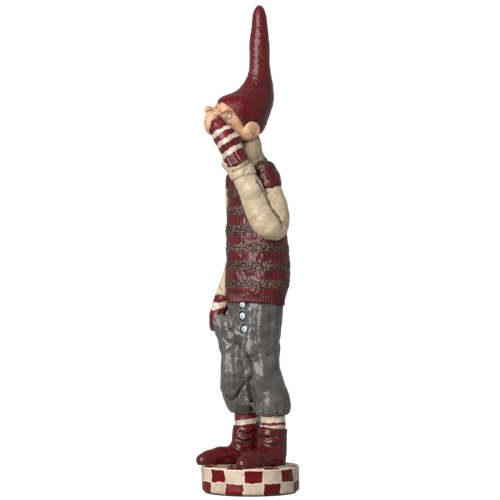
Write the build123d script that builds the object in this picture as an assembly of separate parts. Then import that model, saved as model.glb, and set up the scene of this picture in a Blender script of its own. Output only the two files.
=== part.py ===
from build123d import *
import math
import os

# Tomte figurine: painted resin castings, pinned with steel wire and glued, on a round base.
# Millimetres, +Z up. The origin is the centre of the flat underside, the chest faces -Y,
# and the figure's own left side is +X.

# ---- driving dimensions -------------------------------------------------------------------
OVERALL_HEIGHT = 298.0
BASE_RADIUS = 30.0
BASE_TOP = 16.7
FELT_THICKNESS = 1.0
FELT_RADIUS = 28.0
BASE_BOTTOM_ROUND = 1.6
BASE_TOP_ROUND = 1.0

SHAFT_RADIUS = 8.2
SHAFT_TOP = 38.5
SOCK_RADIUS = 7.0
TROUSER_HEM = 47.5
SOCK_TOP = TROUSER_HEM + 2.0
LEFT_ANKLE = (12.0, 7.3)
RIGHT_ANKLE = (-11.0, 12.5)
LEFT_FOOT_TURN = 0.0
RIGHT_FOOT_TURN = -20.0
LEFT_FOOT_LENGTH = 32.9
RIGHT_FOOT_LENGTH = 35.4

WAIST = 116.5
CROTCH = 87.0

BUTTON_RADIUS = 2.3
BUTTON_DEPTH = 2.4
BUTTON_ROUND = 0.8
BUTTON_Y = -9.0
BUTTON_PLACES = {"upper": (0.5, 115.2), "middle": (0.5, 107.8), "lower": (2.1, 99.9)}

LEG_ROD_RADIUS = 1.25
SPINE_ROD_RADIUS = 1.5
PIN_RADIUS = 1.0

HEAD_CENTRE = Vector(-3.0, -3.5, 228.8)
HEAD_TURN = 30.0
HEAD_TILT = 28.0
HEAD_LENGTH = 29.4
HEAD_WIDTH = 27.0
HEAD_HEIGHT = 30.0

HAT_COLUMN = (3.0, 5.3)
EYE_RADIUS = 1.3
NOSE_RADIUS = 2.2
NOSE_STEM_RADIUS = 1.7
COLLAR_LEAN = 24.0
HAT_BRIM_SLOPE = 36.4


# ---- helpers ------------------------------------------------------------------------------
def level(z, x, y, half_x, half_y, turn=0.0):
    """One horizontal elliptical section."""
    return Location((x, y, z), (0, 0, turn)) * Ellipse(half_x, half_y)


def stack(*sections):
    """A smooth casting through horizontal sections."""
    return loft([level(*section) for section in sections])


def limb(points, radii):
    """A smooth round casting along a path, with a section square to the path at each point."""
    points = [Vector(*point) for point in points]
    sections = []
    for index, (point, radius) in enumerate(zip(points, radii)):
        before = points[max(index - 1, 0)]
        after = points[min(index + 1, len(points) - 1)]
        frame = Plane(origin=point, x_dir=(0.6, 1.0, 0.1), z_dir=(after - before).normalized())
        sections.append(frame * Circle(radius))
    return loft(sections)


def rod(start, end, radius):
    """A straight steel rod between two points."""
    start, end = Vector(*start), Vector(*end)
    frame = Plane(origin=start, z_dir=(end - start).normalized())
    return frame * Cylinder(radius, (end - start).length, align=(Align.CENTER, Align.CENTER, Align.MIN))


def ellipsoid(frame, half_x, half_y, half_z):
    """An ellipsoid with its own axes along those of the frame."""
    return frame.location * scale(Sphere(1.0), (half_x, half_y, half_z))


def head_plane(forward, left, up, tilt=HEAD_TILT):
    """A plane on the head, placed by distances forward, to its left and up from its centre."""
    turned = Location((HEAD_CENTRE.X, HEAD_CENTRE.Y, HEAD_CENTRE.Z), (0, 0, -HEAD_TURN))
    here = turned * Location((left, -forward, up), (-tilt, 0, 0))
    return Plane(here)


# ---- base ---------------------------------------------------------------------------------
def make_felt_pad():
    return Cylinder(FELT_RADIUS, FELT_THICKNESS, align=(Align.CENTER, Align.CENTER, Align.MIN))


def make_base_disc():
    height = BASE_TOP - FELT_THICKNESS
    disc = Pos(0, 0, FELT_THICKNESS) * Cylinder(
        BASE_RADIUS, height, align=(Align.CENTER, Align.CENTER, Align.MIN)
    )
    rims = disc.edges().filter_by(GeomType.CIRCLE).sort_by(Axis.Z)
    disc = fillet(rims[0], BASE_BOTTOM_ROUND)
    rims = disc.edges().filter_by(GeomType.CIRCLE).sort_by(Axis.Z)
    return fillet(rims[-1], BASE_TOP_ROUND)


# ---- feet and legs ------------------------------------------------------------------------
def make_shoe(ankle, turn, length):
    """A felt boot: a pointed foot that lies flat on the base, and a round shaft above it."""
    # place along the foot, half width, top of the section above the sole
    outline = (
        (7.6, 4.2, 8.5),
        (4.5, 6.4, 13.0),
        (-1.0, 7.4, 16.0),
        (-7.0, 7.0, 13.5),
        (-0.42 * length, 6.5, 10.0),
        (-0.62 * length, 5.7, 8.4),
        (-0.82 * length, 4.9, 7.5),
        (-0.95 * length, 3.8, 6.5),
        (-length, 1.8, 4.4),
    )
    sections = []
    for along, half_width, top in outline:
        centre_height = 0.36 * top
        frame = Plane(origin=(0, along, centre_height), x_dir=(1, 0, 0), z_dir=(0, -1, 0))
        sections.append(frame * Ellipse(half_width, top - centre_height))
    foot = loft(sections)
    shaft = stack(
        (5.0, 0, 0.2, SHAFT_RADIUS - 0.4, SHAFT_RADIUS - 0.2),
        (13.0, 0, 0.0, SHAFT_RADIUS, SHAFT_RADIUS),
        (SHAFT_TOP - BASE_TOP, 0, 0.0, SHAFT_RADIUS + 0.3, SHAFT_RADIUS + 0.3),
    )
    heel = Pos(0, 2.0, 6.5) * Sphere(6.6)
    shoe = foot + shaft + heel
    shoe = shoe - Pos(0, 0, -20) * Box(120, 120, 40)
    return Location((ankle[0], ankle[1], BASE_TOP), (0, 0, turn)) * shoe


def make_sock(ankle, hem_centre):
    """A striped sock between the boot's shaft and the trouser hem."""
    return stack(
        (SHAFT_TOP, ankle[0], ankle[1], SOCK_RADIUS, SOCK_RADIUS),
        (0.5 * (SHAFT_TOP + TROUSER_HEM), ankle[0], ankle[1], SOCK_RADIUS + 0.2, SOCK_RADIUS + 0.2),
        (SOCK_TOP, hem_centre[0], hem_centre[1], SOCK_RADIUS - 0.3, SOCK_RADIUS - 0.3),
    )


LEFT_HEM = (11.7, 6.7)
RIGHT_HEM = (-10.9, 9.0)


def make_trousers():
    """Knee-length trousers, with the pocket that holds the right hand."""
    hips = stack(
        (CROTCH - 5, 0.0, 1.2, 16.5, 9.5),
        (CROTCH + 4, 0.3, 2.6, 17.8, 11.6),
        (103.0, 0.5, 3.6, 18.6, 13.2),
        (WAIST, 0.6, 4.6, 18.4, 13.8),
    )
    left_leg = stack(
        (TROUSER_HEM, LEFT_HEM[0], LEFT_HEM[1], 9.0, 9.4),
        (TROUSER_HEM + 3, LEFT_HEM[0], LEFT_HEM[1], 11.2, 11.6),
        (57.0, 11.6, 6.4, 11.4, 11.6),
        (65.0, 10.6, 4.4, 10.4, 10.4),
        (75.0, 9.6, 2.6, 9.4, 9.6),
        (CROTCH + 6, 8.2, 2.6, 8.2, 8.6),
    )
    right_leg = stack(
        (TROUSER_HEM, RIGHT_HEM[0], RIGHT_HEM[1], 8.8, 9.2),
        (TROUSER_HEM + 3, RIGHT_HEM[0], RIGHT_HEM[1] - 0.4, 10.8, 11.4),
        (57.0, -10.9, 5.4, 11.0, 12.4),
        (65.0, -10.4, 1.4, 10.2, 12.0),
        (75.0, -9.7, -0.8, 9.5, 10.2),
        (CROTCH + 6, -8.2, 1.4, 8.2, 8.6),
    )
    pocket = ellipsoid(Plane(Location((-18.6, -6.2, 101.0), (18, 0, 0))), 5.6, 6.0, 8.6)
    return hips + left_leg + right_leg + pocket


def make_button(x, height):
    """A round button with a domed face, let into the front of the trousers."""
    centre = Vector(x, BUTTON_Y, height)
    frame = Plane(origin=centre, z_dir=(0, -1, 0))
    button = frame * Cylinder(BUTTON_RADIUS, BUTTON_DEPTH)
    front = button.edges().filter_by(GeomType.CIRCLE).sort_by(Axis.Y)[0]
    return fillet(front, BUTTON_ROUND)


# ---- body and arms ------------------------------------------------------------------------
def make_sweater():
    return stack(
        (WAIST, 0.6, 5.0, 19.6, 16.2),
        (122.0, 0.8, 5.2, 19.6, 16.4),
        (137.0, 1.0, 5.8, 20.4, 17.0),
        (149.0, 1.0, 5.4, 19.8, 16.0),
        (162.0, 0.9, 4.9, 19.3, 15.0),
        (176.0, 0.6, 4.2, 18.5, 13.4),
        (188.0, 0.3, 3.4, 16.6, 12.0),
        (197.0, 0.0, 2.6, 12.0, 10.2),
        (204.0, -0.3, 1.8, 8.6, 8.6),
    )


def make_cap_sleeve(side):
    """The vest's short sleeve over the point of the shoulder."""
    frame = Plane(Location((side * 11.2, 2.8, 192.0), (0, side * -24, 0)))
    return ellipsoid(frame, 7.0, 8.2, 10.4)


LEFT_UPPER_ARM = ((10.8, -1.0, 196.5), (14.2, -0.6, 188.0), (18.4, 1.0, 178.0),
                  (20.2, 2.4, 168.0), (19.4, 1.6, 161.0))
LEFT_FOREARM = ((16.6, -3.8, 160.0), (15.2, -6.4, 166.0), (12.4, -9.9, 176.0),
                (10.0, -13.0, 185.5), (7.0, -16.6, 194.0), (5.2, -18.6, 199.5))
LEFT_WRIST = ((5.0, -18.9, 200.2), (3.4, -20.3, 205.0), (1.8, -21.4, 210.0),
              (-0.8, -22.8, 216.0), (-4.4, -24.2, 222.0), (-6.6, -24.8, 226.5))
RIGHT_ARM = ((-13.5, 3.2, 194.0), (-17.4, 6.8, 180.0), (-19.6, 12.0, 165.0), (-20.6, 15.4, 152.0),
             (-21.2, 10.8, 137.0), (-21.3, 4.0, 125.0), (-21.2, -1.0, 117.5))
RIGHT_WRIST = ((-21.2, -0.6, 118.0), (-21.4, -3.6, 112.0), (-21.0, -6.6, 105.0), (-20.0, -8.0, 99.0))


def make_left_sleeve():
    """The raised arm: down from the shoulder to the elbow and back up across the chest."""
    upper = limb(LEFT_UPPER_ARM, (6.2, 6.4, 6.5, 6.6, 6.4))
    fore = limb(LEFT_FOREARM, (6.6, 6.7, 6.6, 6.5, 6.2, 5.6))
    elbow = ellipsoid(Plane(Location((18.0, -1.2, 161.0), (0, 0, 38))), 9.4, 6.9, 7.6)
    return upper + fore + elbow


def make_left_sleeve_cuff():
    """The cuff folded back over the forearm."""
    path = ((9.2, -14.0, 188.0), (7.6, -15.9, 192.6), (5.9, -17.8, 197.4))
    return limb(path, (7.4, 8.1, 7.7))


def make_left_wrist_warmer():
    return limb(LEFT_WRIST, (7.4, 6.9, 7.3, 7.8, 6.6, 4.2))


def make_left_hand():
    """A small cupped hand beside the mouth."""
    palm = ellipsoid(Plane(Location((-9.8, -25.2, 224.0), (-6, -16, -28))), 5.2, 4.6, 6.6)
    fingers = ellipsoid(Plane(Location((-11.2, -24.4, 228.0), (14, -6, -28))), 3.9, 3.4, 4.4)
    return palm + fingers


def make_right_sleeve():
    return limb(RIGHT_ARM, (6.2, 6.0, 5.9, 6.4, 5.6, 5.4, 5.2))


def make_right_wrist_warmer():
    return limb(RIGHT_WRIST, (5.0, 4.9, 4.6, 3.6))


# ---- collar, head and hat -----------------------------------------------------------------
def make_collar():
    """A rolled collar that stands high at the nape and dips at the throat."""
    outline = (
        (198.0, -1.5, -0.6, 12.0, 11.0),
        (202.5, -2.8, -2.6, 13.3, 12.4),
        (207.5, -3.5, -3.8, 13.6, 12.8),
        (214.5, -3.8, -3.4, 10.4, 10.4),
    )
    sections = []
    for height, x, y, half_x, half_y in outline:
        here = Location((x, y, height), (0, 0, -HEAD_TURN)) * Location((0, 0, 0), (COLLAR_LEAN, 0, 0))
        sections.append(here * Ellipse(half_x, half_y))
    return loft(sections)


def make_head():
    """Skull, jaw and chin with the neck below them."""
    skull = ellipsoid(head_plane(0.8, 0, 0.4), 0.5 * HEAD_WIDTH, 0.5 * HEAD_LENGTH, 0.5 * HEAD_HEIGHT)
    jaw = ellipsoid(head_plane(7.0, 0, -6.6), 9.4, 8.6, 7.6)
    chin = ellipsoid(head_plane(14.0, 0, -6.0), 4.2, 4.0, 3.6)
    neck = rod((-0.6, 1.0, 203.0), (-2.2, -2.2, 222.0), 7.6)
    return skull + jaw + chin + neck


def make_nose():
    """A knob on a short stem."""
    root = head_plane(12.0, 0, 4.0).origin
    tip = head_plane(22.6, 0, 5.3).origin
    stem = rod(root, tip, NOSE_STEM_RADIUS)
    knob = Location(tip) * Sphere(NOSE_RADIUS)
    return stem + knob


def make_ear(side):
    """A big flat ear with a round outline."""
    here = head_plane(-0.5, side * 12.8, -7.6).location * Location((0, 0, 0), (0, side * 12, side * 16))
    disc = scale(Rotation(0, 90, 0) * Sphere(1.0), (2.2, 5.7, 5.7))
    return here * disc


def make_eye(side):
    return head_plane(12.1, side * 8.3, 1.0).location * Sphere(EYE_RADIUS)


def make_hat():
    """A tall cap: low over the nape and ears, cut up over the forehead, and drawn back and up
    into a straight column."""
    # forward place, height, half length, half width and tilt of each section
    lower = (
        (1.0, 220.6, 12.2, 12.8, 8.0),
        (0.8, 224.6, 14.4, 14.0, 9.0),
        (0.4, 230.0, 16.0, 15.0, 10.0),
        (-1.4, 236.6, 16.6, 14.8, 12.0),
        (-6.8, 242.2, 12.9, 12.0, 9.0),
        (-9.8, 248.6, 9.7, 9.3, 3.0),
    )
    sections = []
    for forward, height, half_length, half_width, tilt in lower:
        here = head_plane(forward, 0.0, height - HEAD_CENTRE.Z, tilt)
        sections.append(here * Ellipse(half_width, half_length))
    column = ((259.0, 6.8), (272.0, 6.4), (284.0, 5.3), (291.5, 4.2), (295.6, 3.0), (OVERALL_HEIGHT, 0.9))
    for height, radius in column:
        sections.append(Pos(HAT_COLUMN[0], HAT_COLUMN[1], height) * Circle(radius))
    brim_cut = head_plane(11.0, 0.0, 3.4, -HAT_BRIM_SLOPE).location * Pos(0, -30, 0) * Box(60, 60, 60)
    return loft(sections) - brim_cut


# ---- assembly -----------------------------------------------------------------------------
rods = {
    "left_leg_rod": rod((12.0, 7.6, 5.0), (9.7, 3.4, 82.0), LEG_ROD_RADIUS),
    "right_leg_rod": rod((-11.0, 11.6, 5.0), (-9.8, 0.6, 82.0), LEG_ROD_RADIUS),
    "spine_rod": rod((0.6, 4.6, 96.0), (-1.4, -0.6, 232.0), SPINE_ROD_RADIUS),
    "hat_pin": rod((2.4, 4.2, 228.0), (3.0, 5.3, 268.0), PIN_RADIUS),
    "left_arm_pin": rod((4.0, 2.0, 190.0), (14.6, -0.6, 190.0), PIN_RADIUS),
    "right_arm_pin": rod((-5.0, 3.8, 186.5), (-17.4, 6.2, 186.5), PIN_RADIUS),
    "left_wrist_pin": rod((7.6, -15.9, 191.0), (-2.4, -23.0, 218.0), PIN_RADIUS),
    "right_wrist_pin": rod((-21.4, 1.6, 122.0), (-20.9, -6.4, 104.0), PIN_RADIUS),
}

nodes = {"base_disc": make_base_disc(), "felt_pad": make_felt_pad()}
nodes["left_shoe"] = make_shoe(LEFT_ANKLE, LEFT_FOOT_TURN, LEFT_FOOT_LENGTH)
nodes["right_shoe"] = make_shoe(RIGHT_ANKLE, RIGHT_FOOT_TURN, RIGHT_FOOT_LENGTH)
nodes["left_sock"] = make_sock(LEFT_ANKLE, LEFT_HEM)
nodes["right_sock"] = make_sock(RIGHT_ANKLE, RIGHT_HEM)
nodes["trousers"] = make_trousers()
for place, (button_x, button_height) in BUTTON_PLACES.items():
    nodes[f"trouser_button_{place}"] = make_button(button_x, button_height)
nodes["sweater"] = make_sweater()
for name, side in (("left", 1), ("right", -1)):
    nodes[f"{name}_cap_sleeve"] = make_cap_sleeve(side)
    nodes[f"{name}_ear"] = make_ear(side)
    nodes[f"{name}_eye"] = make_eye(side)
nodes["left_sleeve"] = make_left_sleeve()
nodes["left_sleeve_cuff"] = make_left_sleeve_cuff()
nodes["left_wrist_warmer"] = make_left_wrist_warmer()
nodes["left_hand"] = make_left_hand()
nodes["right_sleeve"] = make_right_sleeve()
nodes["right_wrist_warmer"] = make_right_wrist_warmer()
nodes["collar"] = make_collar()
nodes["head"] = make_head()
nodes["nose"] = make_nose()
nodes["hat"] = make_hat()

# Each casting is let into its neighbours: the first named gives way to the others.
gives_way = (
    ("trouser_button_upper", ("sweater",)),
    ("trousers", ("left_sock", "right_sock", "trouser_button_upper", "trouser_button_middle",
                  "trouser_button_lower", "right_wrist_warmer")),
    ("right_sleeve", ("sweater",)),
    ("right_wrist_warmer", ("right_sleeve", "sweater")),
    ("trousers", ("right_sleeve",)),
    ("left_cap_sleeve", ("sweater",)),
    ("right_cap_sleeve", ("sweater",)),
    ("left_sleeve", ("sweater", "left_cap_sleeve")),
    ("right_sleeve", ("right_cap_sleeve",)),
    ("left_sleeve_cuff", ("sweater", "left_sleeve")),
    ("left_wrist_warmer", ("left_sleeve", "left_sleeve_cuff", "sweater", "head")),
    ("left_hand", ("left_wrist_warmer", "nose", "head")),
    ("head", ("left_eye", "right_eye", "sweater")),
    ("nose", ("head",)),
    ("left_ear", ("head",)),
    ("right_ear", ("head",)),
    ("hat", ("head", "left_ear", "right_ear")),
    ("collar", ("sweater", "head", "hat", "left_ear", "right_ear", "left_cap_sleeve",
                "right_cap_sleeve", "left_sleeve", "left_sleeve_cuff", "left_wrist_warmer")),
)
for name, neighbours in gives_way:
    for neighbour in neighbours:
        nodes[name] = nodes[name] - nodes[neighbour]

# Every rod lies in a bore of its own size.
for rod_solid in rods.values():
    box = rod_solid.bounding_box()
    for name, solid in nodes.items():
        other = solid.bounding_box()
        apart = (
            box.min.X > other.max.X or box.max.X < other.min.X
            or box.min.Y > other.max.Y or box.max.Y < other.min.Y
            or box.min.Z > other.max.Z or box.max.Z < other.min.Z
        )
        if not apart:
            nodes[name] = solid - rod_solid
nodes.update(rods)

os.makedirs("parts", exist_ok=True)
for name, solid in nodes.items():
    pieces = sorted(solid.solids(), key=lambda piece: piece.volume)
    export_step(pieces[-1], f"parts/{name}.step")
    print(name, [round(piece.volume, 1) for piece in pieces])
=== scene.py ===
import math

import bpy
import numpy as np
import openvdb as vdb
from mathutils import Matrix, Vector


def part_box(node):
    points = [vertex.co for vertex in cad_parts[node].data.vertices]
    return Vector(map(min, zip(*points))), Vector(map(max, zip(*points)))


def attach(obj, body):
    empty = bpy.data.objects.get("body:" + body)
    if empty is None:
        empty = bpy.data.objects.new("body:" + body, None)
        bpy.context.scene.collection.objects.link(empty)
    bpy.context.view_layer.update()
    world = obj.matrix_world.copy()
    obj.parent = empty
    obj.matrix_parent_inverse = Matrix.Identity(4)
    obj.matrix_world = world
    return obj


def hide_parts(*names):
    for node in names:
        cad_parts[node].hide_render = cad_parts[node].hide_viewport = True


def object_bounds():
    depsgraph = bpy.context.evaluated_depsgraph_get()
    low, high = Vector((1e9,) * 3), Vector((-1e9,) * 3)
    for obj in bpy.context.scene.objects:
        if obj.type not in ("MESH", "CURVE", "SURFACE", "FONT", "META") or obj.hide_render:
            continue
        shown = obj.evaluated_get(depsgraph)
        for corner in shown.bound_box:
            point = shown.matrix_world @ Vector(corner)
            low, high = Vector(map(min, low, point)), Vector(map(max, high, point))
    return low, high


# Tomte figurine: each casting is taken from its CAD solid as a block of modelling clay, sculpted
# with added lumps, pressed lines and folds, given its knit and ribs, and painted with node
# materials. Sculpting numbers are millimetres; the frame and every finished mesh are metres.

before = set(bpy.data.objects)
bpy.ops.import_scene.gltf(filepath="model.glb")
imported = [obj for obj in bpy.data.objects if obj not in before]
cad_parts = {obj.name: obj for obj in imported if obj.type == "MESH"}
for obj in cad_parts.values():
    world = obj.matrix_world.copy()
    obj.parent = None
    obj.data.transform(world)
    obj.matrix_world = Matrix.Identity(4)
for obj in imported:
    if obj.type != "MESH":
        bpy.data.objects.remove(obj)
cad_bounds = [list(corner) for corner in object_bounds()]
MM = 0.001
rng = np.random.default_rng(1897)
LATTICE = 64
LATTICE_TABLE = rng.random((LATTICE, LATTICE, LATTICE)).astype(np.float32)


# ---- places taken from the frame ----------------------------------------------------------
def low(node):
    """The lowest corner of a CAD node, in millimetres."""
    return np.array(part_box(node)[0]) / MM


def high(node):
    """The highest corner of a CAD node, in millimetres."""
    return np.array(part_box(node)[1]) / MM


def middle(node):
    """The middle of a CAD node's box, in millimetres."""
    return 0.5 * (low(node) + high(node))


def unit(way):
    return way / np.linalg.norm(way)


BASE_TOP = high("base_disc")[2]
BASE_RADIUS = high("base_disc")[0]
HEM = low("trousers")[2]
WAIST = high("trousers")[2]
LEFT_EAR, RIGHT_EAR = middle("left_ear"), middle("right_ear")
TO_LEFT = unit(LEFT_EAR - RIGHT_EAR)
UP = np.array((0.0, 0.0, 1.0))
FORWARD = np.cross(TO_LEFT, UP)
HEAD_CENTRE = 0.5 * (LEFT_EAR + RIGHT_EAR) + 0.5 * FORWARD + 7.6 * UP


def on_head(forward, left, up):
    """A point given by its distances forward, to the left of and above the head's centre."""
    return HEAD_CENTRE + forward * FORWARD + left * TO_LEFT + up * UP


# the photograph is taken from this far round to the figure's left; SIDEWAYS and AHEAD are seen from there
AZIMUTH = math.radians(38.0)
SIDEWAYS = np.array((math.cos(AZIMUTH), math.sin(AZIMUTH), 0.0))
AHEAD = np.array((-math.sin(AZIMUTH), math.cos(AZIMUTH), 0.0))


# ---- numbers ------------------------------------------------------------------------------
def noise(points, size, seed=0):
    """Smooth noise from -1 to 1 with features of a given size."""
    place = points / size + 17.31 * (seed + 1)
    cell = np.floor(place).astype(np.int64)
    part = (place - cell).astype(np.float32)
    part = part * part * (3.0 - 2.0 * part)
    total = np.zeros(points.shape[:-1], np.float32)
    for corner in range(8):
        step = np.array((corner & 1, corner >> 1 & 1, corner >> 2 & 1))
        weight = np.prod(np.where(step, part, 1.0 - part), axis=-1)
        index = (cell + step) % LATTICE
        total += weight * LATTICE_TABLE[index[..., 0], index[..., 1], index[..., 2]]
    return 2.0 * total - 1.0


def layered(points, size, seed=0, layers=3):
    """Noise with finer and finer detail."""
    total = np.zeros(points.shape[:-1], np.float32)
    for layer in range(layers):
        total += noise(points, size / 2**layer, seed + 7 * layer) / 2**layer
    return total


def bobbles(across, along, pitch_across, pitch_along, seed=0, jitter=0.3, round_to=0.62):
    """Rows of small round bumps on a surface with two coordinates: 0 between them, 1 on top."""
    column, row = across / pitch_across, along / pitch_along
    column_cell, row_cell = np.floor(column), np.floor(row)
    best = np.full(across.shape, 9.0, np.float32)
    for step_row in (-1, 0, 1):
        for step_column in (-1, 0, 1):
            at_row = row_cell + step_row
            at_column = column_cell + step_column
            i = (at_column.astype(np.int64) * 7 + seed) % LATTICE
            j = (at_row.astype(np.int64) * 13 + seed) % LATTICE
            shift = 0.5 * (at_row % 2)
            x = at_column + 0.5 + shift + jitter * (LATTICE_TABLE[i, j, 3] - 0.5)
            y = at_row + 0.5 + jitter * (LATTICE_TABLE[i, j, 9] - 0.5)
            best = np.minimum(best, (column - x) ** 2 + (row - y) ** 2)
    return np.clip(1.0 - best / round_to**2, 0.0, 1.0)


def smooth_step(value, start, end):
    part = np.clip((value - start) / (end - start), 0.0, 1.0)
    return part * part * (3.0 - 2.0 * part)


# ---- clay ---------------------------------------------------------------------------------
class Clay:
    """A casting as a field of distances on a grid: negative inside, in millimetres."""

    def __init__(self, node, cell=0.4, band=6, room=6):
        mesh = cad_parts[node].data
        mesh.calc_loop_triangles()
        points = np.zeros(len(mesh.vertices) * 3, np.float32)
        mesh.vertices.foreach_get("co", points)
        corners = np.zeros(len(mesh.loop_triangles) * 3, np.int32)
        mesh.loop_triangles.foreach_get("vertices", corners)
        points, corners = points.reshape(-1, 3) / MM, corners.reshape(-1, 3)
        self.node = node
        self.cell = cell
        self.transform = vdb.createLinearTransform(voxelSize=cell)
        grid = vdb.FloatGrid.createLevelSetFromPolygons(
            points, triangles=corners, transform=self.transform, halfWidth=band
        )
        first, last = grid.evalActiveVoxelBoundingBox()
        self.first = np.array(first) - room
        shape = np.array(last) + room + 1 - self.first
        self.value = np.zeros(shape, np.float32)
        grid.copyToArray(self.value, ijk=tuple(int(i) for i in self.first))
        self.axes = [(np.arange(n) + f).astype(np.float32) * cell for n, f in zip(shape, self.first)]

    def window(self, points, reach):
        """The part of the grid near some points, and its coordinates."""
        points = np.atleast_2d(np.asarray(points, float))
        start = np.floor((points.min(0) - reach) / self.cell).astype(int) - self.first
        end = np.ceil((points.max(0) + reach) / self.cell).astype(int) - self.first + 1
        start = np.clip(start, 0, self.value.shape)
        end = np.clip(end, 0, self.value.shape)
        part = tuple(slice(a, b) for a, b in zip(start, end))
        x = self.axes[0][part[0], None, None]
        y = self.axes[1][None, part[1], None]
        z = self.axes[2][None, None, part[2]]
        return part, x, y, z

    def line_distance(self, points, radii, x, y, z):
        """Distance to a chain of straight tapering limbs."""
        best = None
        for a, b, ra, rb in zip(points[:-1], points[1:], radii[:-1], radii[1:]):
            a, b = np.asarray(a, float), np.asarray(b, float)
            d = b - a
            t = ((x - a[0]) * d[0] + (y - a[1]) * d[1] + (z - a[2]) * d[2]) / float(d @ d)
            t = np.clip(t, 0.0, 1.0)
            off = (x - a[0] - t * d[0], y - a[1] - t * d[1], z - a[2] - t * d[2])
            gap = np.sqrt(off[0] ** 2 + off[1] ** 2 + off[2] ** 2) - (ra + t * (rb - ra))
            best = gap if best is None else np.minimum(best, gap)
        return best.astype(np.float32)

    def add(self, points, radii, soft=1.5):
        """Adds a limb of clay, blended into what is there."""
        points = [np.asarray(p, float) for p in points]
        if len(points) == 1:
            points = points * 2
            points[1] = points[1] + 0.01
            radii = list(radii) * 2
        part, x, y, z = self.window(points, max(radii) + 3 * soft + 2)
        shape = self.line_distance(points, radii, x, y, z)
        here = self.value[part]
        blend = np.clip(soft - np.abs(here - shape), 0.0, None) / soft
        self.value[part] = np.minimum(here, shape) - 0.25 * soft * blend * blend

    def cut(self, points, radii, soft=1.0):
        """Cuts a limb-shaped hollow."""
        self.value = -self.value
        self.add(points, radii, soft)
        self.value = -self.value

    def press(self, points, width, depth):
        """Presses a line into the clay, or raises a ridge where depth is negative."""
        part, x, y, z = self.window(points, 3.0 * width + abs(depth))
        if len(points) == 1:
            points = [points[0], np.asarray(points[0]) + 0.01]
        gap = self.line_distance(points, [0.0] * len(points), x, y, z)
        self.value[part] += depth * np.exp(-((gap / width) ** 2))

    def sample(self, points):
        """Which points lie on the grid, and the distances there."""
        index = np.round(points / self.cell).astype(int) - self.first
        inside = ((index >= 0) & (index < self.value.shape)).all(1)
        return inside, self.value[tuple(index[inside].T)]

    def seen(self, *places):
        """Surface points at distances sideways and heights, as met from the camera's side."""
        found = []
        steps = np.arange(-45.0, 45.0, 0.3)
        for sideways, height in places:
            line = sideways * SIDEWAYS + steps[:, None] * AHEAD + height * UP
            inside, value = self.sample(line)
            hit = np.flatnonzero(value < 0.0)
            found.append(line[inside][hit[0]] if len(hit) else sideways * SIDEWAYS + height * UP)
        return found

    def unevenness(self, amount, size, seed=0, layers=2):
        """Makes the surface uneven, as a hand leaves it."""
        near = np.abs(self.value) < 1.8
        index = np.argwhere(near)
        points = (index + self.first) * self.cell
        self.value[near] += amount * layered(points, size, seed, layers)

    def press_all(self, lines):
        """Presses lines that are each given as points, a width and a depth."""
        for *points, width, depth in lines:
            self.press(points, width, depth)

    def press_seen(self, *lines):
        """Presses lines that are each given as places for seen, a width and a depth."""
        for *places, width, depth in lines:
            self.press(self.seen(*places), width, depth)

    def swell(self, amount):
        self.value -= amount

    def trim(self, point, way):
        """Cuts away everything behind a plane, given by a point and the way it faces."""
        x, y, z = self.axes[0][:, None, None], self.axes[1][None, :, None], self.axes[2][None, None, :]
        gap = (x - point[0]) * way[0] + (y - point[1]) * way[1] + (z - point[2]) * way[2]
        self.value = np.maximum(self.value, -gap.astype(np.float32))

    def stay_above(self, height):
        """Cuts everything under a height flat."""
        self.value = np.maximum(self.value, height - self.axes[2][None, None, :])

    def surface(self):
        """The surface as points in millimetres and four-sided faces, outward, one piece only."""
        grid = vdb.FloatGrid(float(np.abs(self.value).max()))
        grid.copyFromArray(self.value, ijk=tuple(int(i) for i in self.first))
        grid.transform = self.transform
        grid.gridClass = vdb.GridClass.LEVEL_SET
        points, faces = grid.convertToQuads()
        points, faces = points.astype(np.float64), faces.astype(np.int64)
        points, faces = largest_piece(points, faces)
        a, b, c, d = (points[faces[:, i]] for i in range(4))
        if np.einsum("ij,ij->", a, np.cross(b, c) + np.cross(c, d)) < 0:
            faces = faces[:, ::-1]
        return points, faces


def largest_piece(points, faces):
    """Keeps the largest connected piece of a surface."""
    label = np.arange(len(points))
    for _ in range(200):
        lowest = label[faces].min(1)
        new = label.copy()
        for i in range(4):
            np.minimum.at(new, faces[:, i], lowest)
        new = new[new]
        if (new == label).all():
            break
        label = new
    labels, counts = np.unique(label, return_counts=True)
    keep = label == labels[counts.argmax()]
    index = np.cumsum(keep) - 1
    kept_faces = faces[keep[faces[:, 0]]]
    return points[keep], index[kept_faces]


SHOWN = [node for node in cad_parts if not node.endswith(("_rod", "_pin")) and node != "felt_pad"]
SOLIDS = {node: Clay(node, cell=0.5, room=2) for node in SHOWN}


def distance_to_others(points, own):
    """Distance from each point to the nearest other casting, up to 3 mm."""
    nearest = np.full(len(points), 3.0, np.float32)
    for node, solid in SOLIDS.items():
        if node != own:
            inside, value = solid.sample(points)
            nearest[inside] = np.minimum(nearest[inside], value)
    return nearest


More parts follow.
